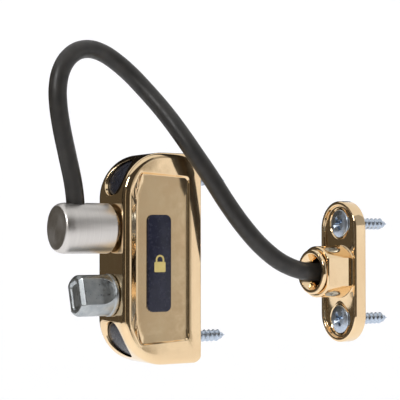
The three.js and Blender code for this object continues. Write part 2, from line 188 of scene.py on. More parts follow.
def combine(obj, tool, operation="DIFFERENCE"):
    """Cuts the tool from the object, or joins it on, and removes the tool."""
    modifier = obj.modifiers.new("combine", "BOOLEAN")
    modifier.operation, modifier.object, modifier.solver = operation, tool, "MANIFOLD"
    apply_modifiers(obj)
    bpy.data.objects.remove(tool)
    return tidy(obj)


def apply_modifiers(obj):
    """Makes the mesh what its modifiers make of it."""
    bpy.context.view_layer.update()
    shown = obj.evaluated_get(bpy.context.evaluated_depsgraph_get())
    mesh = bpy.data.meshes.new_from_object(shown)
    obj.modifiers.clear()
    obj.data = mesh
    return obj


def remesh(obj, voxel, smoothing):
    """Rebuilds the mesh evenly and softens its edges, as casting does."""
    modifier = obj.modifiers.new("remesh", "REMESH")
    modifier.mode, modifier.voxel_size = "VOXEL", voxel
    soften = obj.modifiers.new("soften", "SMOOTH")
    soften.factor, soften.iterations = 0.5, smoothing
    apply_modifiers(obj)
    return tidy(obj, crease=180)


# ---- materials ----


class Finish:
    """A procedural material on one Principled shader, made in object coordinates."""

    def __init__(self, name, colour, metallic, roughness, **constants):
        self.material = bpy.data.materials.new(name)
        self.material.use_nodes = True
        self.tree = self.material.node_tree
        self.shader = self.tree.nodes["Principled BSDF"]
        self.set("Base Color", (*colour, 1))
        self.set("Metallic", metallic)
        self.set("Roughness", roughness)
        for socket, value in constants.items():
            self.set(socket.replace("_", " "), value)
        self.place = self.add("TexCoord").outputs["Object"]
        self.relief = None

    def set(self, socket, value):
        """Sets a socket of the shader to a constant, or links an output to it."""
        self.fill(self.shader.inputs[socket], value)

    def fill(self, socket, value):
        if isinstance(value, bpy.types.NodeSocket):
            self.tree.links.new(value, socket)
        else:
            socket.default_value = value

    def add(self, kind, inputs=None, **settings):
        node = self.tree.nodes.new("ShaderNode" + kind)
        for key, value in settings.items():
            setattr(node, key, value)
        for key, value in (inputs or {}).items():
            self.fill(node.inputs[key], value)
        return node

    def turned(self, origin, scale):
        """Coordinates that change along the axis and away from it, but not round it: lathe rings."""
        moved = self.add("VectorMath", {0: self.place, 1: tuple(-c for c in origin)}, operation="ADD")
        parts = self.add("SeparateXYZ", {0: moved.outputs[0]})
        flat = self.add("CombineXYZ", {"X": parts.outputs["X"], "Z": parts.outputs["Z"]})
        radius = self.add("VectorMath", {0: flat.outputs[0]}, operation="LENGTH").outputs["Value"]
        rings = self.add("CombineXYZ", {"X": radius, "Y": parts.outputs["Y"]})
        return self.add("VectorMath", {0: rings.outputs[0], 1: (scale, scale, 0)},
                        operation="MULTIPLY").outputs[0]

    def noise(self, scale, detail=2, vector=None, roughness=0.5):
        return self.add("TexNoise", {"Vector": vector or self.place, "Scale": scale, "Detail": detail,
                                     "Roughness": roughness}).outputs["Fac"]

    def between(self, value, low, high, start=0.3, end=0.7):
        """A value brought from start..end into low..high."""
        return self.add("MapRange", {"Value": value, "From Min": start, "From Max": end,
                                     "To Min": low, "To Max": high}).outputs["Result"]

    def tint(self, share, first, second):
        """Colours the surface from first to second by a share that varies over it."""
        mix = self.add("Mix", {"Factor": share}, data_type="RGBA")
        mix.inputs["A"].default_value = (*first, 1)
        mix.inputs["B"].default_value = (*second, 1)
        colours = [socket for socket in mix.outputs if socket.type == "RGBA"]
        self.tree.links.new(colours[0], self.shader.inputs["Base Color"])

    def bump(self, height, distance, strength=1.0):
        """Adds relief, on top of any that is there."""
        node = self.add("Bump", {"Height": height, "Distance": distance, "Strength": strength})
        if self.relief:
            self.tree.links.new(self.relief, node.inputs["Normal"])
        self.relief = node.outputs["Normal"]
        self.set("Normal", self.relief)


def brass_plating():
    """Bright gold plating on a die-casting: almost a mirror, a little wavy and clouded."""
    finish = Finish("brass_plating", (0.85, 0.64, 0.4), 1, 0.1)
    cloud = finish.noise(90, 3)
    finish.tint(finish.between(cloud, 0, 1), (0.87, 0.67, 0.42), (0.82, 0.6, 0.36))
    finish.set("Roughness", finish.between(finish.noise(400, 4), 0.06, 0.13))
    finish.bump(finish.noise(110, 1), 0.000025, 0.5)
    finish.bump(finish.noise(2600, 2), 0.000002, 0.4)
    return finish.material


def stainless(name, origin):
    """Stainless steel turned on a lathe: fine rings round the axis through the origin."""
    finish = Finish(name, (0.62, 0.59, 0.565), 1, 0.34, Anisotropic=0.5)
    rings = finish.turned(origin, 1)
    tangent = finish.add("Tangent", direction_type="RADIAL", axis="Y").outputs["Tangent"]
    finish.set("Tangent", tangent)
    fine = finish.noise(9000, 3, rings)
    finish.set("Roughness", finish.between(finish.noise(2500, 2, rings), 0.28, 0.4))
    finish.tint(finish.between(fine, 0, 1), (0.68, 0.65, 0.62), (0.58, 0.555, 0.53))
    finish.bump(fine, 0.000004, 0.6)
    return finish.material


def plated_steel(name, colour, roughness, grain=1500):
    """Plain plated steel, with a fine grain."""
    finish = Finish(name, colour, 1, roughness)
    speck = finish.noise(grain, 4)
    darker = tuple(0.82 * part for part in colour)
    finish.tint(finish.between(speck, 0, 1), colour, darker)
    finish.set("Roughness", finish.between(finish.noise(grain / 3, 3), roughness * 0.8, roughness * 1.25))
    finish.bump(speck, 0.000005, 0.5)
    return finish.material


def key_zinc():
    """Tumbled zinc die-casting: dull, faintly pitted, with brighter and darker clouds."""
    finish = Finish("key_zinc", (0.42, 0.45, 0.46), 1, 0.33)
    cloud = finish.noise(350, 4, roughness=0.6)
    finish.tint(finish.between(cloud, 0, 1), (0.48, 0.5, 0.5), (0.34, 0.37, 0.39))
    finish.set("Roughness", finish.between(finish.noise(900, 3), 0.26, 0.46))
    finish.bump(cloud, 0.00004, 0.5)
    finish.bump(finish.noise(4000, 3), 0.000006, 0.6)
    return finish.material


def cable_coating():
    """Satin black extruded coating, with faint scuffs."""
    finish = Finish("cable_coating", (0.014, 0.0125, 0.011), 0, 0.42, Specular_IOR_Level=0.5)
    finish.tint(finish.between(finish.noise(300, 3), 0, 1), (0.012, 0.011, 0.01), (0.022, 0.019, 0.016))
    finish.set("Roughness", finish.between(finish.noise(700, 4), 0.34, 0.52))
    finish.bump(finish.noise(2200, 3), 0.00001, 0.5)
    return finish.material


def moulded(name, first, second, low, high):
    """Moulded or enamelled surface with a slight mottle."""
    finish = Finish(name, first, 0, low, Specular_IOR_Level=0.3)
    finish.tint(finish.between(finish.noise(500, 3), 0, 1), first, second)
    finish.set("Roughness", finish.between(finish.noise(900, 3), low, high))
    finish.bump(finish.noise(3000, 2), 0.000004, 0.5)
    return finish.material


BRASS = brass_plating()
KEY_ZINC = key_zinc()
ZINC = plated_steel("zinc_screw", (0.55, 0.63, 0.74), 0.3)
STEEL = plated_steel("plated_steel", (0.6, 0.61, 0.62), 0.35)
SPRING = plated_steel("spring_steel", (0.46, 0.47, 0.48), 0.32)
COATING = cable_coating()
CAP = moulded("black_cap", (0.012, 0.013, 0.02), (0.02, 0.021, 0.03), 0.22, 0.38)
ENAMEL = moulded("badge_enamel", (0.012, 0.013, 0.024), (0.018, 0.019, 0.034), 0.2, 0.3)
INLAY = moulded("badge_inlay", (0.55, 0.44, 0.16), (0.48, 0.38, 0.13), 0.3, 0.42)


def finish_piece(obj, material, slot, body, *nodes):
    """Gives a piece its material, stands it for its CAD nodes and lets it ride on its body. The slot is not
    used.
    """
    obj.data.materials.clear()
    obj.data.materials.append(material)
    if nodes:
        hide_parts(*nodes)
    if body:
        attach(obj, body)
    return obj


# ---- cable ----

CABLE_RADIUS = 0.003
CABLE_SPLIT = 0.47  # share of the route, past the loop's bend, where its two stretches meet
CABLE_SIDES = 32
CABLE_STEP = 0.0005
# The cable's centreline, from the bottom of its hole in the plug to its stop in the anchor.
CABLE_ROUTE = [
    (0, -0.0426, 0.0132), (0, -0.0426, 0.0185), (0, -0.0435, 0.025), (0, -0.0455, 0.0335),
    (0, -0.0475, 0.042), (0, -0.0487, 0.049), (0, -0.049, 0.055), (-0.0005, -0.0478, 0.0605),
    (-0.0015, -0.045, 0.065), (-0.003, -0.0405, 0.0683), (-0.0045, -0.035, 0.0695),
    (-0.0052, -0.0297, 0.0685), (-0.0047, -0.025, 0.0658), (-0.0027, -0.0207, 0.0617),
    (0.0004, -0.017, 0.0566), (0.004, -0.014, 0.0515), (0.0075, -0.0115, 0.0465),
    (0.011, -0.009, 0.041), (0.0142, -0.006, 0.0348), (0.017, -0.0015, 0.027), (0.0192, 0.0035, 0.0185),
    (0.0213, 0.0085, 0.011), (0.0233, 0.0145, 0.004), (0.025, 0.0215, -0.0014),
    (0.026, 0.0295, -0.0043), (0.026, 0.037, -0.0047), (0.026, 0.043, -0.0047),
]


def smooth_route(points, per_span=40):
    """A centripetal Catmull-Rom curve through the points, as close points along it."""
    given = np.array(points, float)
    given = np.vstack([2 * given[0] - given[1], given, 2 * given[-1] - given[-2]])
    line = []
    for p0, p1, p2, p3 in zip(given, given[1:], given[2:], given[3:]):
        d0, d1, d2 = (np.linalg.norm(b - a) ** 0.5 for a, b in ((p0, p1), (p1, p2), (p2, p3)))
        leave = ((p1 - p0) / d0 - (p2 - p0) / (d0 + d1) + (p2 - p1) / d1) * d1
        arrive = ((p2 - p1) / d1 - (p3 - p1) / (d1 + d2) + (p3 - p2) / d2) * d1
        for t in np.arange(per_span) / per_span:
            line.append(p1 + leave * t + (3 * (p2 - p1) - 2 * leave - arrive) * t ** 2
                        + (2 * (p1 - p2) + leave + arrive) * t ** 3)
    return np.array(line + [given[-2]])


def lengths_along(line):
    return np.concatenate([[0], np.cumsum(np.linalg.norm(np.diff(line, axis=0), axis=1))])


def evenly(line, start, end, step):
    """Points about a step apart on a line, between two lengths along it."""
    along = lengths_along(line)
    places = np.linspace(start, end, math.ceil((end - start) / step) + 1)
    return np.stack([np.interp(places, along, line[:, axis]) for axis in range(3)], axis=1)


def tube(name, line, radius, sides):
    """A round tube along a line of close points. Its rings don't twist."""
    tangents = np.gradient(line, axis=0)
    tangents /= np.linalg.norm(tangents, axis=1)[:, None]
    across = Vector((1, 0, 0))
    rings = []
    for point, tangent in zip(line, tangents):
        ahead = Vector(tangent)
        across = (across - ahead * across.dot(ahead)).normalized()
        aside = ahead.cross(across)
        angles = [2 * math.pi * k / sides for k in range(sides)]
        rings.append([Vector(point) + (across * math.cos(a) + aside * math.sin(a)) * radius for a in angles])
    return loft(name, rings)


def make_cable():
    """The cable as two stretches that meet past the loop: one from the plug, one to the swivel."""
    whole = smooth_route(CABLE_ROUTE)
    length = lengths_along(whole)[-1]
    split = length * CABLE_SPLIT
    plug_line = evenly(whole, 0, split, CABLE_STEP)
    anchor_line = evenly(whole, split, length, CABLE_STEP)

    plug_end = tube("cable_plug_end_fine", plug_line, CABLE_RADIUS, CABLE_SIDES)
    finish_piece(plug_end, COATING, "cable_coating", None, "cable_plug_end")
    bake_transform(plug_end)

    anchor_end = tube("cable_anchor_end_fine", anchor_line, CABLE_RADIUS, CABLE_SIDES)
    finish_piece(anchor_end, COATING, "cable_coating", None, "cable_anchor_end")
    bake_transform(anchor_end)


make_cable()

# ---- housing ----

HOUSING_LOW, HOUSING_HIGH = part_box("housing_shell")
HALF_WIDTH = HOUSING_HIGH.x
FRONT = HOUSING_LOW.y
TOP = HOUSING_HIGH.z
SHOULDER, BACK_CORNER, EDGE = 0.0154, 0.0025, 0.002
BACK_SHARE = 0.35  # the cheeks' back edges are rounded less than their front edges
OUTLINE_STEP = 0.00035
EDGE_STEPS = 8

PANEL_DEPTH = 0.0009
PANEL_RIM = [(-0.0274, 0.022, 0.0012), (-0.0236, 0.0285, 0.0012), (-0.0049, 0.0274, 0.0016)]
PANEL_FLOOR = [(-0.0241, 0.0208, 0.0008), (-0.0224, 0.0277, 0.0008), (-0.0056, 0.0267, 0.0012)]
PANEL_CENTRE = (-0.0155, 0)
PANEL_EASE = 0.2  # share of the panel's wall that is rounded at each side
PANEL_SLOPE = 0.035  # how the panel's floor falls towards the front

WELL_Z, WELL_MOUTH, WELL_RADIUS, WELL_HOLE = 0.0268, 0.006, 0.0048, 0.0024
WELL_LEDGE, WELL_FLOOR = -0.02, -0.014
CAP_SUNK = 0.0009  # how deep a well's plug sits below the shoulder
CAP_GAP = 0.0003
CAVITY_HALF_WIDTH, CAVITY_HALF_HEIGHT, FRONT_WALL = 0.0072, 0.0198, 0.0032
COVER_THICKNESS, COVER_GAP = 0.0015, 0.0003
COVER_SCREW_X, COVER_SCREW_Z, COVER_SCREW_HOLE, COVER_SCREW_DEPTH = 0.0052, 0.0228, 0.0013, 0.008
TAB_HALF_WIDTH, TAB_BOTTOM, TAB_TOP = 0.0026, -0.0074, -0.0058  # folded from the cover, for the spring
BORE, BORE_CHAMFER = 0.0063, 0.0004
PAST = 0.001  # how far a cutting shape runs past the face that it opens


def quarter(centre, radius_y, radius_z, start):
    """Points on a quarter of an ellipse, from start in quarter turns, without the last."""
    count = round(math.pi / 2 * SHOULDER / OUTLINE_STEP)
    angles = [math.pi / 2 * (start + k / count) for k in range(count)]
    return [(centre[0] + radius_y * math.cos(a), centre[1] + radius_z * math.sin(a)) for a in angles]


def side_outline(inset):
    """The housing's outline, drawn in by inset and less so at the back. Its count never changes."""
    shoulder_y, shoulder_z = FRONT + SHOULDER, TOP - SHOULDER
    corner_y, corner_z = -BACK_CORNER, TOP - BACK_CORNER
    back = inset * BACK_SHARE
    arcs = [
        quarter((corner_y, corner_z), BACK_CORNER - back, BACK_CORNER - inset, 0),
        quarter((shoulder_y, shoulder_z), SHOULDER - inset, SHOULDER - inset, 1),
        quarter((shoulder_y, -shoulder_z), SHOULDER - inset, SHOULDER - inset, 2),
        quarter((corner_y, -corner_z), BACK_CORNER - back, BACK_CORNER - inset, 3),
    ]
    ends = [
        ((corner_y, TOP - inset), (shoulder_y, TOP - inset)),
        ((FRONT + inset, shoulder_z), (FRONT + inset, -shoulder_z)),
        ((shoulder_y, inset - TOP), (corner_y, inset - TOP)),
        ((-back, -corner_z), (-back, corner_z)),
    ]
    outline = []
    for arc, (start, end) in zip(arcs, ends):
        outline += arc
        count = round(math.dist(start, end) / OUTLINE_STEP)
        outline += [tuple(Vector(start).lerp(Vector(end), k / count)) for k in range(count)]
    return outline


def cast(outline, centre, targets):
    """Where the rays from the centre towards each target cross a closed outline."""
    corners = np.array(outline) - centre
    following = np.roll(corners, -1, axis=0)
    edge = following - corners
    crossed = []
    for target in np.array(targets) - centre:
        across = target[0] * edge[:, 1] - target[1] * edge[:, 0]
        across = np.where(np.abs(across) < 1e-15, 1e-15, across)
        along_ray = (corners[:, 0] * edge[:, 1] - corners[:, 1] * edge[:, 0]) / across
        along_edge = (corners[:, 0] * target[1] - corners[:, 1] * target[0]) / across
        hits = along_ray[(along_edge >= -1e-9) & (along_edge <= 1 + 1e-9) & (along_ray > 0)]
        crossed.append(np.array(centre) + target * hits.max())
    return np.array(crossed)


def panel_outline(upper):
    """A panel outline from its upper corners, with the same corners below."""
    lower = [(y, -z, fillet) for y, z, fillet in reversed(upper)]
    return rounded(upper + lower, closed=True)


def eased(share):
    """From 0 to 1 on a slope with round ends."""
    run = PANEL_EASE
    if share < run:
        return share ** 2 / (2 * run * (1 - run))
    if share > 1 - run:
        return 1 - (1 - share) ** 2 / (2 * run * (1 - run))
    return (share - run / 2) / (1 - run)


def cheek_rings(side):
    """From the housing's flank over its rounded edge, across the cheek and down into the panel."""
    rings = []
    for step in range(EDGE_STEPS + 1):
        angle = math.pi / 2 * step / EDGE_STEPS
        x = HALF_WIDTH - EDGE + EDGE * math.sin(angle)
        rings.append((x, side_outline(EDGE * (1 - math.cos(angle)))))
    targets = rings[0][1]
    rim = cast(panel_outline(PANEL_RIM), PANEL_CENTRE, targets)
    floor = cast(panel_outline(PANEL_FLOOR), PANEL_CENTRE, targets)
    cheek = [[(side * x, y, z) for y, z in outline] for x, outline in rings]
    for share in (0, 0.05, 0.1, 0.15, 0.2, 0.35, 0.5, 0.65, 0.8, 0.85, 0.9, 0.95, 1):
        cheek.append(panel_ring(rim + (floor - rim) * share, eased(share), side))
    for share in (0.9, 0.75, 0.6, 0.45, 0.3, 0.15, 0):
        cheek.append(panel_ring(np.array(PANEL_CENTRE) + (floor - PANEL_CENTRE) * share, 1, side))
    return cheek


def panel_floor(y):
    """How far the panel's floor stands from the housing's middle."""
    return HALF_WIDTH - PANEL_DEPTH + PANEL_SLOPE * (y - PANEL_CENTRE[0])


def panel_ring(outline, depth, side):
    """An outline between the cheek's face and the panel's floor; depth goes from 0 to 1."""
    return [(side * (HALF_WIDTH + (panel_floor(y) - HALF_WIDTH) * depth), y, z) for y, z in outline]


def make_housing():
    shell = loft("housing_shell_fine", cheek_rings(-1)[::-1] + cheek_rings(1))
    cavity_front = FRONT + FRONT_WALL
    combine(shell, block((-CAVITY_HALF_WIDTH, cavity_front, -CAVITY_HALF_HEIGHT),
                         (CAVITY_HALF_WIDTH, PAST, CAVITY_HALF_HEIGHT)))
    cover_low, cover_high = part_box("back_plate")
    seat = cover_high.x + COVER_GAP
    combine(shell, block((-seat, -COVER_THICKNESS - COVER_GAP, cover_low.z - COVER_GAP),
                         (seat, PAST, cover_high.z + COVER_GAP)))
    for side in (1, -1):
        centre = Vector((0, 0, side * WELL_Z))
        lip = [(WELL_MOUTH + 0.0003, -PAST), (WELL_MOUTH + 0.00022, -0.00005), (WELL_MOUTH + 0.0001, 0.00003),
               (WELL_MOUTH + 0.00003, 0.00012), (WELL_MOUTH, 0.00025)]
        rings = [shoulder_ring(side, radius, offset) for radius, offset in lip]
        rings.append([(x, WELL_LEDGE, z) for x, _, z in rings[-1]])
        combine(shell, loft("tool", rings))
        combine(shell, drill(WELL_RADIUS, WELL_LEDGE - PAST, WELL_FLOOR, centre, 96))
        combine(shell, drill(WELL_HOLE, WELL_FLOOR - PAST, PAST, centre))
        corner = Vector((side * COVER_SCREW_X, 0, side * COVER_SCREW_Z))
        combine(shell, drill(COVER_SCREW_HOLE, -COVER_SCREW_DEPTH, PAST, corner, 32))
    for node in ("plug_barrel", "lock_core"):
        low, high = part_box(node)
        centre = Vector((0, FRONT, (low.z + high.z) / 2))
        profile = [(0, -PAST), (BORE + BORE_CHAMFER + PAST, -PAST), (BORE, BORE_CHAMFER),
                   (BORE, FRONT_WALL + PAST), (0, FRONT_WALL + PAST)]
        combine(shell, revolve("tool", profile, centre))
    finish_piece(shell, BRASS, "brass_plating", "root", "housing_shell")


def make_back_plate():
    """The steel cover, with softened edges, its holes, and the tab for the spring."""
    low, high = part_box("back_plate")
    ease = 0.00025
    profile = [(ease, -COVER_THICKNESS), (ease * 0.3, ease * 0.3 - COVER_THICKNESS),
               (0, ease - COVER_THICKNESS), (0, -ease), (ease * 0.3, -ease * 0.3), (ease, 0)]
    plate = stack("back_plate_fine",
                  lambda inset: rounded_rectangle(high.x, high.z, 0.0006, inset=inset, steps=5),
                  profile, lambda a, b, height: (a, height, b))
    combine(plate, block((-TAB_HALF_WIDTH, low.y, TAB_BOTTOM),
                         (TAB_HALF_WIDTH, -COVER_THICKNESS / 2, TAB_TOP)), "UNION")
    for side in (1, -1):
        combine(plate, drill(0.0026, -COVER_THICKNESS - PAST, PAST, Vector((0, 0, side * WELL_Z))))
        profile = [(0, -0.003), (COVER_SCREW_HOLE, -0.003), (COVER_SCREW_HOLE, -0.0013),
                   (0.0023, 0), (0.0023, PAST), (0, PAST)]
        corner = Vector((side * COVER_SCREW_X, 0, side * COVER_SCREW_Z))
        combine(plate, revolve("tool", profile, corner, segments=48))
    finish_piece(plate, STEEL, "plated_steel", "root", "back_plate")


def shoulder_ring(side, radius, offset, sides=128):
    """A circle round a well's axis, laid on the shoulder and moved back by offset."""
    ring = []
    for k in range(sides):
        angle = 2 * math.pi * k / sides
        z = side * WELL_Z + radius * math.sin(angle)
        past = max(0, abs(z) - (TOP - SHOULDER))
        front = FRONT + SHOULDER - math.sqrt(SHOULDER ** 2 - past ** 2)
        ring.append((radius * math.cos(angle), front + offset, z))
    return ring


def make_caps():
    """The plugs in the screw wells: their faces have the shoulder's curve and their rims are eased."""
    radius, ease, dome = WELL_MOUTH - CAP_GAP, 0.0004, 0.00025
    profile = [(radius * share, dome * share ** 2) for share in (0, 0.25, 0.5, 0.75, 0.9)]
    for step in range(6):
        angle = math.pi / 2 * step / 5
        profile.append((radius - ease + ease * math.sin(angle), dome + ease * (1 - math.cos(angle))))
    for end, side in (("upper", 1), ("lower", -1)):
        node = "screw_cap_" + end
        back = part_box(node)[1].y
        rings = [shoulder_ring(side, ring_radius, CAP_SUNK + drop) for ring_radius, drop in profile]
        rings.append([(x, back, z) for x, _, z in rings[-1]])
        finish_piece(loft(node + "_fine", rings), CAP, "black_cap", "root", node)


BADGE_CORNER, BADGE_EASE, BADGE_SUNK = 0.002, 0.00018, 0.0002
SIGN_DEPTH, SIGN_RISE = 0.00005, 0.00004  # how far the padlock goes into the badge and stands out of it
PADLOCK = {"half_width": 0.0021, "half_height": 0.0017, "corner": 0.0004, "drop": 0.0012}
BOW = {"radius": 0.0013, "rise": 0.0012, "foot": 0.0004, "half_thickness": 0.0003, "steps": 24}


def make_badge():
    """A plain dark badge on the right cheek, with a small padlock set in it."""
    low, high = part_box("cheek_badge")
    centre = ((low.y + high.y) / 2, (low.z + high.z) / 2)
    half_y, half_z = (high.y - low.y) / 2, (high.z - low.z) / 2
    base, face = panel_floor(low.y) - BADGE_SUNK, high.x
    badge = stack("cheek_badge_fine",
                  lambda inset: rounded_rectangle(half_y, half_z, BADGE_CORNER, centre, inset, 12),
                  [(0, base), (0, face - BADGE_EASE), (BADGE_EASE * 0.3, face - BADGE_EASE * 0.3),
                   (BADGE_EASE, face)],
                  lambda a, b, height: (height, a, b))
    finish_piece(badge, ENAMEL, "badge_enamel", "root", "cheek_badge")
    make_padlock(centre, face - SIGN_DEPTH, face + SIGN_RISE)


def make_padlock(centre, low, high):
    """The sign's two pieces, a body with round corners and a bow over it, between two values of X."""
    middle = (centre[0], centre[1] - PADLOCK["drop"])
    body = stack("badge_padlock_body",
                 lambda inset: rounded_rectangle(PADLOCK["half_width"], PADLOCK["half_height"],
                                                 PADLOCK["corner"], middle, inset, 6),
                 [(0, low), (0, high - 0.00002), (0.00003, high)],
                 lambda a, b, height: (height, a, b))
    finish_piece(body, INLAY, "badge_enamel", "root")
    bow = []
    for k in range(BOW["steps"] + 1):
        angle = math.pi * k / BOW["steps"]
        bow.append((centre[0] + BOW["radius"] * math.cos(angle),
                    centre[1] + BOW["rise"] + BOW["radius"] * math.sin(angle)))
    foot = centre[1] + BOW["foot"]
    bow = [(bow[0][0], foot)] + bow + [(bow[-1][0], foot)]
    inner, outer = [], []
    for i, (y, z) in enumerate(bow):
        before, after = bow[max(i - 1, 0)], bow[min(i + 1, len(bow) - 1)]
        aside = (Vector(after) - Vector(before)).normalized() * BOW["half_thickness"]
        inner.append((y - aside.y, z + aside.x))
        outer.append((y + aside.y, z - aside.x))
    outline = outer + inner[::-1]
    shackle = loft("badge_padlock_bow", [[(x, y, z) for y, z in outline] for x in (low, high)])
    finish_piece(shackle, INLAY, "badge_enamel", "root")


make_housing()
make_back_plate()
make_caps()
make_badge()

# ---- screws ----

THREAD = {"pitch": 0.0018, "depth": 0.00042, "tip": 0.003}


def cross_tool(centre, face, reach, depth, lean=0.44):
    """Two tapered bars that cut a screw's cross recess, a little turned."""
    width = reach / 4.5
    tools = []
    for turn in (lean, lean + math.pi / 2):
        along = Vector((math.cos(turn), 0, math.sin(turn)))
        aside = Vector((-math.sin(turn), 0, math.cos(turn)))
        rings = []
        for y, long, wide in ((face - 0.001, 1.1, 1.05), (face, 1, 1), (face + depth, 0.35, 0.6)):
            middle = centre + Vector((0, y, 0))
            rings.append([middle + along * a * reach * long + aside * b * width * wide
                          for a, b in ((1, 1), (-1, 1), (-1, -1), (1, -1))])
        tools.append(loft("tool", rings))
    return tools


def make_screw(name, head, radius, thread_from, end, centre, recess):
    """A screw along Y: its head from a profile, then a thread that runs out at its tip."""
    pitch, depth, tip = THREAD["pitch"], THREAD["depth"], THREAD["tip"]
    sides = 40
    angles = [2 * math.pi * k / sides for k in range(sides)]
    rings = []
    for ring_radius, y in rounded(head, steps=4):
        rings.append([(ring_radius, y)] * sides)
    steps = math.ceil((end - thread_from) / (pitch / 12))
    for step in range(1, steps + 1):
        y = thread_from + (end - thread_from) * step / steps
        taper = min(1, (end - y) / tip)
        lead = min(1, (y - thread_from) / pitch)
        ring = []
        for angle in angles:
            phase = (y / pitch - angle / (2 * math.pi)) % 1
            ridge = max(0, 1 - abs(2 * phase - 1) / 0.55)
            ring.append((taper * (radius - depth * lead * (1 - ridge)), y))
        rings.append(ring)
    points = [[centre + Vector((r * math.cos(a), y, r * math.sin(a))) for a, (r, y) in zip(angles, ring)]
              for ring in rings]
    screw = loft(name, points)
    for tool in cross_tool(centre, *recess):
        combine(screw, tool)
    return screw


def make_screws():
    for end, side in (("upper", 1), ("lower", -1)):
        centre = Vector((0, 0, side * WELL_Z))
        seat = WELL_FLOOR - 0.0003
        head = [(0, seat - 0.003), (0.0028, seat - 0.0029, 0.0008), (0.0042, seat - 0.0012, 0.0006),
                (0.0042, seat, 0.0002), (0.0021, seat, 0.0003), (0.0021, -0.004)]
        screw = make_screw("housing_screw_" + end + "_fine", head, 0.0021, -0.004, 0.015, centre,
                           (seat - 0.003, 0.0024, 0.0018))
        finish_piece(screw, ZINC, "zinc_screw", "root", "housing_screw_" + end)

        low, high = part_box("anchor_screw_" + end)
        centre = Vector(((low.x + high.x) / 2, ANCHOR_BACK, (low.z + high.z) / 2))
        face, floor = low.y - ANCHOR_BACK, ANCHOR_FLOOR
        head = [(0, face), (0.0028, face + 0.00006, 0.006), (0.0047, face + 0.0006, 0.0004),
                (0.0048, floor, 0.0001), (0.002, -0.0009, 0.0004), (0.002, 0.001)]
        screw = make_screw("anchor_screw_" + end + "_fine", head, 0.002, 0.001, high.y - ANCHOR_BACK, centre,
                           (face, 0.0026, 0.0018))
        finish_piece(screw, ZINC, "zinc_screw", "root", "anchor_screw_" + end)

        corner = Vector((side * COVER_SCREW_X, 0, side * COVER_SCREW_Z))
        profile = rounded([(0, -0.0001), (0.0019, -0.0001, 0.0001), (0.0019, -0.0003, 0.0001),
                           (0.001, -0.0014), (0.001, -0.0066), (0.0006, -0.007), (0, -0.007)], steps=3)
        cover_screw = revolve("back_plate_screw_" + end + "_fine", profile, corner, segments=48)
        combine(cover_screw, block((corner.x - 0.0021, -0.0006, corner.z - 0.00025),
                                   (corner.x + 0.0021, PAST, corner.z + 0.00025)))
        finish_piece(cover_screw, ZINC, "zinc_screw", "root", "back_plate_screw_" + end)


# ---- anchor ----

ANCHOR_LOW, ANCHOR_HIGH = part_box("anchor_plate")
ANCHOR_BACK = ANCHOR_HIGH.y
ANCHOR_HALF_WIDTH = (ANCHOR_HIGH.x - ANCHOR_LOW.x) / 2
ANCHOR_HALF_HEIGHT = (ANCHOR_HIGH.z - ANCHOR_LOW.z) / 2
ANCHOR_CENTRE = Vector(((ANCHOR_LOW.x + ANCHOR_HIGH.x) / 2, ANCHOR_BACK, (ANCHOR_LOW.z + ANCHOR_HIGH.z) / 2))
ANCHOR_THICKNESS, ANCHOR_RIM, ANCHOR_FLOOR = 0.0046, 0.0014, -0.0037
BOSS_RADIUS, BOSS_HALF_WIDTH, BOSS_FRONT, BOSS_BORE = 0.0087, 0.0073, -0.0144, 0.0061
FLAT_FLARE = 3.4  # how much further the boss's flats flare at the foot than its round sides
ANCHOR_SCREW_Z, ANCHOR_SCREW_HOLE = 0.0164, 0.0052


def boss_outline(inset):
    """A circle with a flat on each side, drawn in by inset. Below 0 the flats flare the most."""
    radius, flat = BOSS_RADIUS - inset, BOSS_HALF_WIDTH - inset * (FLAT_FLARE if inset < 0 else 1)
    half = math.acos(flat / radius)
    corners = [half, math.pi - half, math.pi + half, 2 * math.pi - half]
    outline = []
    for start, end in (corners[:2], corners[2:]):
        outline += [(radius * math.cos(a), radius * math.sin(a)) for a in np.linspace(start, end, 49)]
    return outline


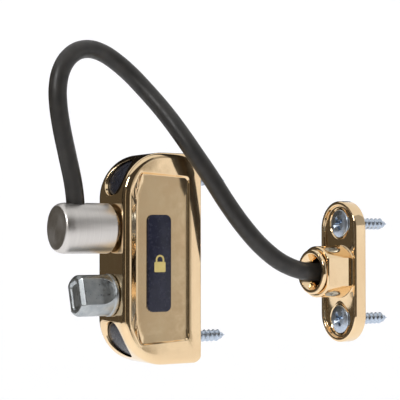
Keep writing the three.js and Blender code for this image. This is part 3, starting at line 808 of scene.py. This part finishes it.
def make_anchor_plate():
    """A plate with a rounded rim and a sunk floor, a flat-sided boss, its bore and two countersunk holes."""
    depth = ANCHOR_THICKNESS
    profile = rounded([
        (0.0006, 0), (0, 0, 0.0003), (0, -depth, 0.00065), (ANCHOR_RIM, -depth, 0.00045),
        (ANCHOR_RIM + 0.0002, ANCHOR_FLOOR, 0.0003), (ANCHOR_RIM + 0.001, ANCHOR_FLOOR)])
    corner = ANCHOR_HALF_WIDTH
    plate = stack("anchor_plate_fine",
                  lambda inset: rounded_rectangle(ANCHOR_HALF_WIDTH, ANCHOR_HALF_HEIGHT, corner,
                                                  inset=inset, steps=32),
                  profile, lambda a, b, height: ANCHOR_CENTRE + Vector((a, height, b)))
    flare, flare_height, ease = 0.0005, 0.0014, 0.0007
    rise = [(-flare, ANCHOR_FLOOR + PAST / 2)]
    for step in range(7):
        angle = math.pi / 2 * step / 6
        rise.append((-flare * (1 - math.sin(angle)), ANCHOR_FLOOR - flare_height * (1 - math.cos(angle))))
    for step in range(7):
        angle = math.pi / 2 * step / 6
        rise.append((ease * (1 - math.cos(angle)), BOSS_FRONT + ease * (1 - math.sin(angle))))
    boss = stack("tool", boss_outline, rise, lambda a, b, height: ANCHOR_CENTRE + Vector((a, height, b)))
    combine(plate, boss, "UNION")
    lip = BOSS_BORE + 0.0005
    combine(plate, revolve("tool", [(0, BOSS_FRONT - PAST), (lip + PAST, BOSS_FRONT - PAST),
                                    (BOSS_BORE, BOSS_FRONT + 0.0005), (BOSS_BORE, -0.001), (0, -0.001)],
                           ANCHOR_CENTRE))
    combine(plate, revolve("tool", [(0, -0.002), (0.0072, -0.002), (0.0072, PAST), (0, PAST)], ANCHOR_CENTRE))
    hole = ANCHOR_SCREW_HOLE
    for side in (1, -1):
        profile = [(0, ANCHOR_FLOOR - PAST), (hole + 0.0003 + PAST, ANCHOR_FLOOR - PAST),
                   (hole, ANCHOR_FLOOR + 0.0003), (0.0023, -0.0009), (0.0023, PAST), (0, PAST)]
        combine(plate, revolve("tool", profile, ANCHOR_CENTRE + Vector((0, 0, side * ANCHOR_SCREW_Z))))
    finish_piece(plate, BRASS, "brass_plating", "root", "anchor_plate")


def make_ferrule():
    """The bell-mouthed eye that turns in the boss, its clip, and the stop on the cable's end."""
    profile = rounded([
        (0.0062, -0.0162, 0.0004), (0.0075, -0.0162, 0.0006), (0.0077, -0.0148, 0.0005),
        (0.0058, -0.0147, 0.0002), (0.0058, -0.0019), (0.005, -0.0019), (0.005, -0.0007),
        (0.0058, -0.0007), (0.0058, -0.0004),
        (0.0048, -0.0004), (0.0048, -0.006), (0.0037, -0.006, 0.0003), (0.0037, -0.0098, 0.0012),
        (0.0044, -0.0135, 0.003)], closed=True)
    ferrule = revolve("swivel_ferrule_fine", profile, ANCHOR_CENTRE, closed=True, segments=128)
    finish_piece(ferrule, BRASS, "brass_plating", "ferrule", "swivel_ferrule")

    ring = rounded([(0.0053, -0.0016, 0.0001), (0.0069, -0.0016, 0.0001), (0.0069, -0.001, 0.0001),
                    (0.0053, -0.001, 0.0001)], closed=True, steps=3)
    clip = revolve("ferrule_clip_fine", ring, ANCHOR_CENTRE, closed=True)
    gap_low = ANCHOR_CENTRE + Vector((-0.0022, -0.003, 0))
    combine(clip, block(gap_low, ANCHOR_CENTRE + Vector((0.0022, PAST, 0.008))))
    finish_piece(clip, SPRING, "spring_steel", "ferrule", "ferrule_clip")

    profile = rounded([(0, -0.0057), (0.0045, -0.0057, 0.0006), (0.0045, -0.0012, 0.0006), (0, -0.0012)])
    stop = revolve("cable_stop_fine", profile, ANCHOR_CENTRE, segments=64)
    finish_piece(stop, SPRING, "spring_steel", "ferrule", "cable_stop")


make_anchor_plate()
make_ferrule()
make_screws()

# ---- plug ----

BARREL_LOW, BARREL_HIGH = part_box("plug_barrel")
PLUG_AXIS = Vector((0, FRONT, (BARREL_LOW.z + BARREL_HIGH.z) / 2))
BARREL_RADIUS = (BARREL_HIGH.z - BARREL_LOW.z) / 2
NOSE_RADIUS, NOSE_LENGTH = 0.0014, 0.0032  # the barrel's front tapers in a quarter ellipse
CABLE_HOLE = 0.0033


def make_plug():
    """The turned barrel that the cable enters from above, its locking pin and the bush it turns in."""
    front, back = BARREL_LOW.y - FRONT, BARREL_HIGH.y - FRONT
    profile = [(0, front), (BARREL_RADIUS - NOSE_RADIUS - 0.0002, front)]
    for step in range(1, 17):
        angle = math.pi / 2 * step / 16
        profile.append((BARREL_RADIUS - NOSE_RADIUS * (1 - math.sin(angle)),
                        front + NOSE_LENGTH * (1 - math.cos(angle))))
    profile += rounded([(BARREL_RADIUS, front + NOSE_LENGTH + 0.001), (BARREL_RADIUS, back, 0.0006), (0, back)])
    barrel = revolve("plug_barrel_fine", profile, PLUG_AXIS, segments=160)
    combine(barrel, drill(0.0028, -0.0075, 0, PLUG_AXIS))
    cable_y = CABLE_ROUTE[0][1]
    rings = []
    for radius, z in ((CABLE_HOLE, -0.0045), (CABLE_HOLE, 0.0074), (CABLE_HOLE + 0.003, 0.0104)):
        angles = [2 * math.pi * k / 64 for k in range(64)]
        rings.append([(radius * math.cos(a), cable_y + radius * math.sin(a), PLUG_AXIS.z + z)
                      for a in angles])
    combine(barrel, loft("tool", rings))
    steel = stainless("stainless", PLUG_AXIS)
    finish_piece(barrel, steel, "stainless", "plug", "plug_barrel")

    profile = rounded([
        (0, -0.0072), (0.0025, -0.0072, 0.0004), (0.0025, -0.0009), (0.004, -0.0009, 0.0003),
        (0.004, 0.0071, 0.0003), (0.0026, 0.0071, 0.0004), (0.0026, 0.0101, 0.0004),
        (0.004, 0.0101, 0.0003), (0.004, 0.0134, 0.0008), (0.003, 0.0142, 0.0005), (0, 0.0142)], steps=4)
    pin = revolve("plug_pin_fine", profile, PLUG_AXIS)
    finish_piece(pin, steel, "stainless", "plug", "plug_pin")

    profile = rounded([
        (0.0043, 0.0002, 0.0003), (0.006, 0.0002, 0.0002), (0.006, 0.0035), (0.0069, 0.0035, 0.0002),
        (0.0069, 0.0049, 0.0002), (0.006, 0.0049), (0.006, 0.0071, 0.0002), (0.0043, 0.0071, 0.0002)],
        closed=True, steps=4)
    bush = revolve("socket_bush_fine", profile, PLUG_AXIS, closed=True)
    finish_piece(bush, BRASS, "brass_plating", "socket_bush", "socket_bush")


make_plug()

# ---- lock and key ----

CORE_LOW, CORE_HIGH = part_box("lock_core")
LOCK_AXIS = Vector((0, FRONT, (CORE_LOW.z + CORE_HIGH.z) / 2))
KEY_TURN = math.radians(-17)
KEY_BIT = (0.0022, 0.0056, 0.005)
KEY_FRONT, KEY_NECK, KEY_GRIP, KEY_COLLAR, KEY_FLAT = -0.0131, -0.0015, 0.0068, 0.00705, 0.0052
RUN_OUT_START, RUN_OUT_RADIUS = -0.0063, 0.0088
FLAT_REACH = 0.012  # how far the tool for a flat runs, past the key on every side
TAIL_HALF, TAIL_FRONT, TAIL_BACK = 0.0016, 0.0056, 0.0124  # the core's square tail
KEYWAY_GAP = 0.0003


def turn_about(obj, centre, angle):
    """Turns a mesh about the line along Y through the centre."""
    move = Matrix.Translation(centre)
    obj.data.transform(move @ Matrix.Rotation(angle, 4, "Y") @ move.inverted())
    return obj


def make_lock_core():
    thick, wide, long = KEY_BIT
    profile = rounded([
        (0, 0.0003), (0.006, 0.0003, 0.0003), (0.006, 0.0035), (0.0069, 0.0035, 0.0002),
        (0.0069, 0.0049, 0.0002), (0.006, 0.0049), (0.006, 0.0064, 0.0002), (0, 0.0064)], steps=4)
    core = revolve("lock_core_fine", profile, LOCK_AXIS)
    combine(core, block(LOCK_AXIS + Vector((-TAIL_HALF, TAIL_FRONT, -TAIL_HALF)),
                        LOCK_AXIS + Vector((TAIL_HALF, TAIL_BACK, TAIL_HALF))), "UNION")
    half_thick, half_wide = thick / 2 + KEYWAY_GAP, wide / 2 + KEYWAY_GAP
    keyway = block(LOCK_AXIS + Vector((-half_thick, -PAST, -half_wide)),
                   LOCK_AXIS + Vector((half_thick, long + 0.0005, half_wide)))
    combine(core, turn_about(keyway, LOCK_AXIS, KEY_TURN))
    finish_piece(core, BRASS, "brass_plating", "lock_core", "lock_core")


def flat_tool(side, chamfer):
    """Cuts one of the key's flats, with its front chamfer and the slope that rises to the collar."""
    outline = [(FLAT_REACH, KEY_FRONT - PAST), (-chamfer - PAST, KEY_FRONT - PAST),
               (0, KEY_FRONT + chamfer), (0, RUN_OUT_START)]
    for step in range(1, 17):
        angle = math.pi / 2 * step / 16
        outline.append((RUN_OUT_RADIUS * (1 - math.cos(angle)),
                        RUN_OUT_START + RUN_OUT_RADIUS * math.sin(angle)))
    outline.append((FLAT_REACH, RUN_OUT_START + RUN_OUT_RADIUS))
    return loft("tool", [[LOCK_AXIS + Vector((side * (KEY_FLAT + a), y, z)) for a, y in outline]
                         for z in (-FLAT_REACH, FLAT_REACH)])


def make_key():
    """The die-cast key: a collar, a grip with two flats that rise to it, a sunk end and the bit."""
    thick, wide, long = KEY_BIT
    chamfer = 0.0013
    profile = rounded([
        (0, KEY_FRONT), (KEY_GRIP - 0.001, KEY_FRONT, 0.0003), (KEY_GRIP, KEY_FRONT + 0.001, 0.0012),
        (KEY_GRIP, KEY_NECK), (KEY_COLLAR, KEY_NECK + 0.0002), (KEY_COLLAR, -0.0003), (0, -0.0003)])
    key = revolve("key_fine", profile, LOCK_AXIS)
    for side in (1, -1):
        combine(key, flat_tool(side, chamfer))
    sunk = stack("tool", lambda inset: rounded_rectangle(0.0028, 0.0046, 0.0016, inset=inset),
                 [(-0.0008, KEY_FRONT - PAST), (0, KEY_FRONT), (0.0007, KEY_FRONT + 0.0007)],
                 lambda a, b, height: LOCK_AXIS + Vector((a, height, b)))
    combine(key, sunk)
    combine(key, block(LOCK_AXIS + Vector((-thick / 2, -PAST, -wide / 2)),
                       LOCK_AXIS + Vector((thick / 2, long, wide / 2))), "UNION")
    turn_about(key, LOCK_AXIS, KEY_TURN)
    remesh(key, 0.00014, 5)
    finish_piece(key, KEY_ZINC, "key_zinc", "key", "key")


make_lock_core()
make_key()

# ---- hidden pieces that keep their CAD shapes ----

for node, material, slot in (
    ("cable_crimp", SPRING, "spring_steel"),
    ("lock_cam", STEEL, "plated_steel"),
    ("cam_retainer", SPRING, "spring_steel"),
    ("latch_bolt", STEEL, "plated_steel"),
    ("latch_spring", SPRING, "spring_steel"),
):
    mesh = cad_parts[node].data
    mesh.materials.clear()
    mesh.materials.append(material)

# ---- stage ----

CENTRE = Vector((0.01, 0, 0.01))


def emitter(name, colour, strength):
    """A surface that only gives light; strength 0 makes a black flag."""
    material = bpy.data.materials.new(name)
    material.use_nodes = True
    shader = material.node_tree.nodes["Principled BSDF"]
    shader.inputs["Base Color"].default_value = (0, 0, 0, 1)
    shader.inputs["Roughness"].default_value = 1
    shader.inputs["Specular IOR Level"].default_value = 0
    shader.inputs["Emission Color"].default_value = (*colour, 1)
    shader.inputs["Emission Strength"].default_value = strength
    return material


def band(name, azimuths, elevations, distance, colour, strength, lights=False):
    """A curved card round the object, from one azimuth and elevation to another, in degrees.

    Azimuth 0 is in front of the housing, and 90 is to its right. The card shows in reflections, and it
    lights dull surfaces only if asked.
    """
    steps = 12
    turns = [math.radians(turn) for turn in np.linspace(*azimuths, steps + 1)]
    rises = [math.radians(rise) for rise in np.linspace(*elevations, steps + 1)]
    points = []
    for rise in rises:
        for turn in turns:
            away = Vector((math.sin(turn) * math.cos(rise), -math.cos(turn) * math.cos(rise), math.sin(rise)))
            points.append(CENTRE + away * distance)
    row = steps + 1
    faces = [(i * row + k, i * row + k + 1, (i + 1) * row + k + 1, (i + 1) * row + k)
             for i in range(steps) for k in range(steps)]
    obj = add_object(name, points, faces)
    obj.data.materials.append(emitter(name, colour, strength))
    obj.visible_camera = False
    obj.visible_shadow = False
    obj.visible_diffuse = lights


def make_floor():
    """A pale round sweep: a floor that curves up to a low wall on every side."""
    floor_z, flat, curve, top = -0.16, 1.1, 0.7, 1.2
    profile = [(0, floor_z), (flat, floor_z)]
    for step in range(1, 13):
        angle = math.pi / 2 * step / 12
        profile.append((flat + curve * math.sin(angle), floor_z + curve * (1 - math.cos(angle))))
    profile.append((flat + curve, top))
    sides = 96
    angles = [2 * math.pi * k / sides for k in range(sides)]
    points = [(radius * math.cos(a), radius * math.sin(a), z) for radius, z in profile for a in angles]
    faces = []
    for i in range(len(profile) - 1):
        for k in range(sides):
            following = (k + 1) % sides
            faces.append((i * sides + k, i * sides + following,
                          (i + 1) * sides + following, (i + 1) * sides + k))
    floor = add_object("floor", points, faces)
    material = emitter("floor", (1, 1, 1), 0.19)
    material.node_tree.nodes["Principled BSDF"].inputs["Base Color"].default_value = (0.85, 0.85, 0.86, 1)
    floor.data.materials.append(material)


def make_world():
    world = bpy.data.worlds.new("world")
    world.use_nodes = True
    background = world.node_tree.nodes["Background"]
    background.inputs["Color"].default_value = (1, 1, 1, 1)
    background.inputs["Strength"].default_value = 0.9
    bpy.context.scene.world = world
    bpy.context.scene.view_settings.view_transform = "Standard"


make_floor()
make_world()
band("key_light", (16, 32), (23, 39), 0.55, (1, 1, 1), 16, lights=True)
band("dark_front", (-72, -30), (-24, 34), 0.9, (1, 0.86, 0.66), 0.09)
band("dark_left", (-135, -72), (-24, 40), 0.9, (1, 0.85, 0.7), 0.012)
band("dark_right", (-30, 112), (-24, 46), 0.9, (1, 0.9, 0.75), 0.06)
band("gold_streak", (36, 44), (-14, 16), 0.8, (1, 0.9, 0.75), 0.6)
band("panel_grey", (112, 117.6), (-12, 10), 1.2, (1, 0.97, 0.92), 0.5)
band("key_grey", (112, 150), (12, 42), 1.2, (1, 1, 1), 0.42)
band("wall_grey", (138, 170), (-30, 30), 1.3, (1, 0.98, 0.95), 0.53)
